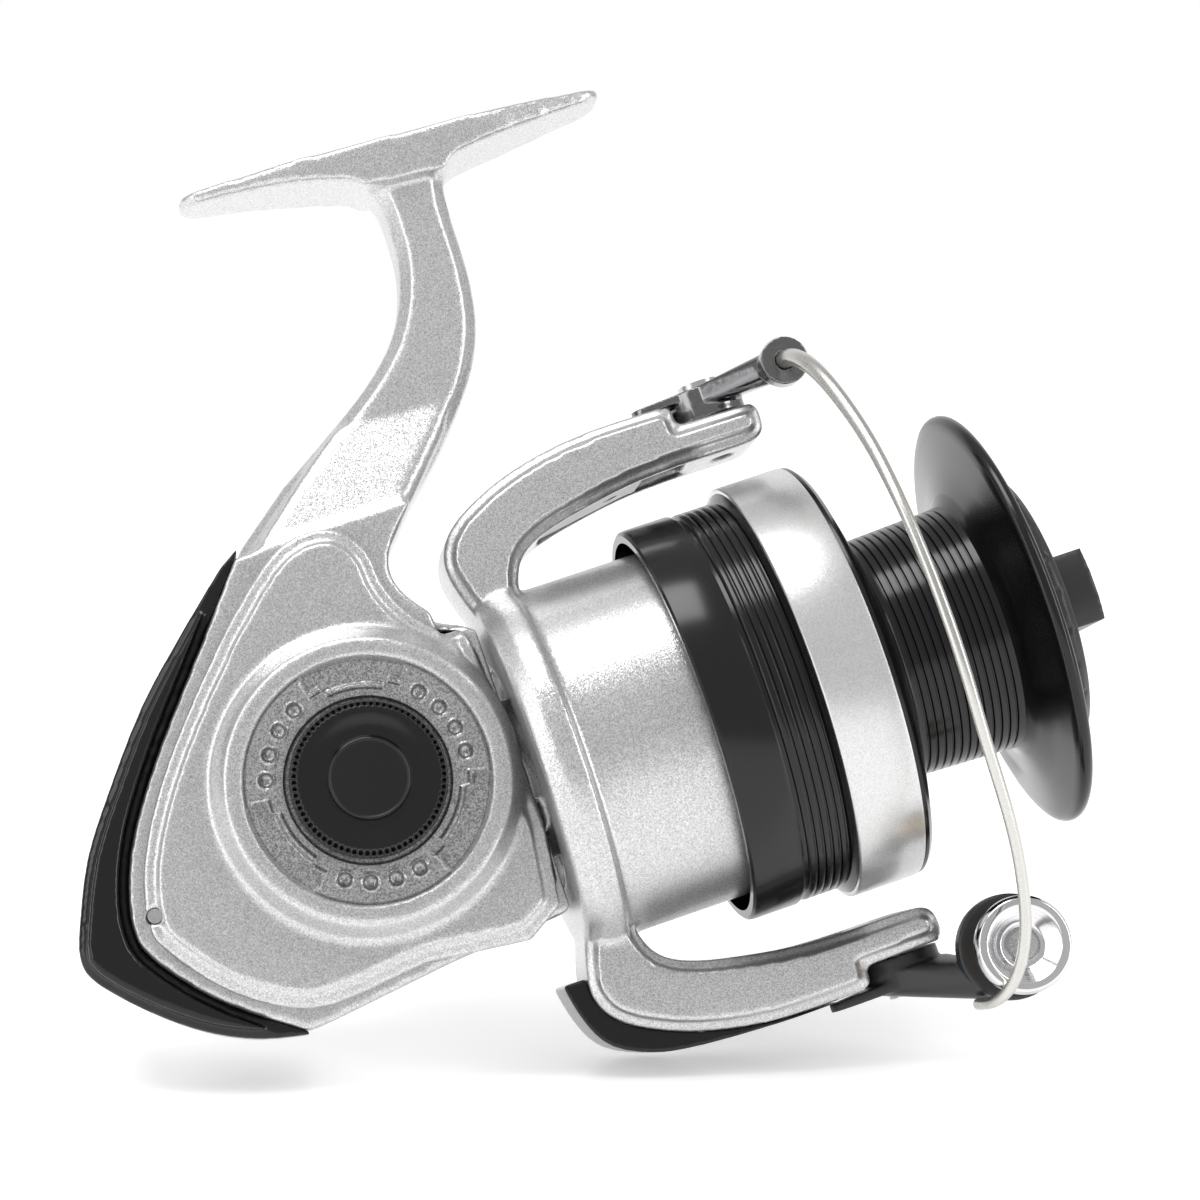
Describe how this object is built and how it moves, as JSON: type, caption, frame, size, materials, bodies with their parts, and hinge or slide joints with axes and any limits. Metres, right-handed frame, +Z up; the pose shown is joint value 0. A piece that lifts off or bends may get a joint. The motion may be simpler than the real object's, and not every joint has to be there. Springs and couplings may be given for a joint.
{
  "type": "spinning reel",
  "caption": "Front-drag spinning reel with a flaked silver housing, grooved black spool, wire bail and a left-hand crank with a T-shaped knob.",
  "frame": {"origin": "middle of the foot's seat, the flat top face that lies against the rod", "axes": "+X forward along the spool axis, +Y towards the crank side, +Z up towards the rod"},
  "size_m": [0.1418, 0.1213, 0.1372],
  "materials": {
    "flake_silver": "metallic flake paint, satin gloss",
    "gloss_black": "glossy black",
    "ring_silver": "coarse metallic flake",
    "bright_band": "fine metallic silver, gloss",
    "steel": "machined",
    "bronze": "sintered",
    "gear_alloy": "die-cast zinc, machined",
    "brass": "machined",
    "white_plastic": "moulded",
    "slider_alloy": "die-cast",
    "crank_black": "satin black",
    "knob_rubber": "soft matte",
    "dark_plastic": "satin, fine grain",
    "felt": "felt",
    "dark_chrome": "smoked chrome",
    "wire_steel": "satin drawn steel",
    "polished": "polished"
  },
  "bodies": {
    "frame": {"main_frame": "flake_silver", "side_cover": "flake_silver", "rear_cover": "gloss_black", "ring_plate": "ring_silver", "cover_screws": "steel", "drive_bearing_right": "steel", "drive_bearing_left": "steel", "pinion_bearing": "steel", "roller_clutch": "bronze", "clutch_retainer": "steel", "guide_rod": "steel", "oscillation_post": "steel"},
    "crank": {"drive_gear": "gear_alloy", "oscillation_pinion": "white_plastic", "handle_shank": "crank_black", "handle_arm": "crank_black", "knob_post": "steel"},
    "knob": {"handle_knob": "knob_rubber", "knob_cap": "dark_plastic"},
    "screw_cap": {"handle_screw": "gloss_black"},
    "oscillator": {"oscillation_gear": "white_plastic"},
    "shaft": {"main_shaft": "steel", "oscillation_slider": "slider_alloy", "slider_screw": "steel", "click_wheel": "white_plastic", "shaft_clip": "steel", "drag_washers_metal": "steel"},
    "spool": {"spool_body": "gloss_black", "spool_band": "bright_band", "line_clip": "dark_plastic", "drag_washers_felt": "felt", "drag_retaining_ring": "steel", "click_pawl": "steel"},
    "drag": {"drag_knob": "dark_plastic", "drag_nut": "brass", "drag_spring": "steel"},
    "rotor_unit": {"rotor": "flake_silver", "pinion": "brass", "rotor_nut": "brass", "nut_lock": "steel", "arm_cover_outer": "gloss_black", "arm_cover_inner": "slider_alloy", "bail_spring": "steel", "trip_lever": "steel", "balance_weight": "slider_alloy", "pivot_screws": "steel"},
    "bail": {"bail_arm": "dark_plastic", "bail_holder": "dark_chrome", "bail_wire": "wire_steel", "roller_cap": "polished", "roller_screw": "steel", "roller_bush": "white_plastic"},
    "roller": {"line_roller": "brass"}
  },
  "joints": [
    {"name": "crank_spin", "type": "hinge", "parent": "frame", "child": "crank", "pos_m": [-0.031, 0, -0.0817], "axis": [0, 1, 0], "continuous": true},
    {"name": "rotor_spin", "type": "hinge", "parent": "frame", "child": "rotor_unit", "pos_m": [-0.001, 0, -0.0872], "axis": [1, 0, 0], "continuous": true},
    {"name": "oscillator_spin", "type": "hinge", "parent": "frame", "child": "oscillator", "pos_m": [-0.0469, -0.006, -0.0872], "axis": [0, 1, 0], "continuous": true},
    {"name": "spool_slide", "type": "slide", "parent": "frame", "child": "shaft", "axis": [1, 0, 0], "range_m": [-0.012, 0]},
    {"name": "spool_drag", "type": "hinge", "parent": "shaft", "child": "spool", "pos_m": [0.047, 0, -0.0872], "axis": [1, 0, 0], "continuous": true},
    {"name": "drag_adjust", "type": "hinge", "parent": "shaft", "child": "drag", "pos_m": [0.064, 0, -0.0872], "axis": [1, 0, 0], "range_deg": [-1080, 180]},
    {"name": "bail_flip", "type": "hinge", "parent": "rotor_unit", "child": "bail", "pos_m": [0.0295, 0, -0.0872], "axis": [0, 0, 1], "range_deg": [0, 105]},
    {"name": "roller_spin", "type": "hinge", "parent": "bail", "child": "roller", "pos_m": [0.0421, -0.0141, -0.1289], "axis": [0, 1, 0], "continuous": true},
    {"name": "knob_spin", "type": "hinge", "parent": "crank", "child": "knob", "pos_m": [0.03645, 0.06, -0.10041], "axis": [0, 1, 0], "continuous": true},
    {"name": "screw_cap_turn", "type": "hinge", "parent": "crank", "child": "screw_cap", "pos_m": [-0.031, -0.019, -0.0817], "axis": [0, 1, 0], "range_deg": [-1440, 0]}
  ],
  "couplings": [
    {"joint": "rotor_spin", "follows": "crank_spin", "ratio": -4.9},
    {"joint": "oscillator_spin", "follows": "crank_spin", "ratio": -0.4}
  ]
}
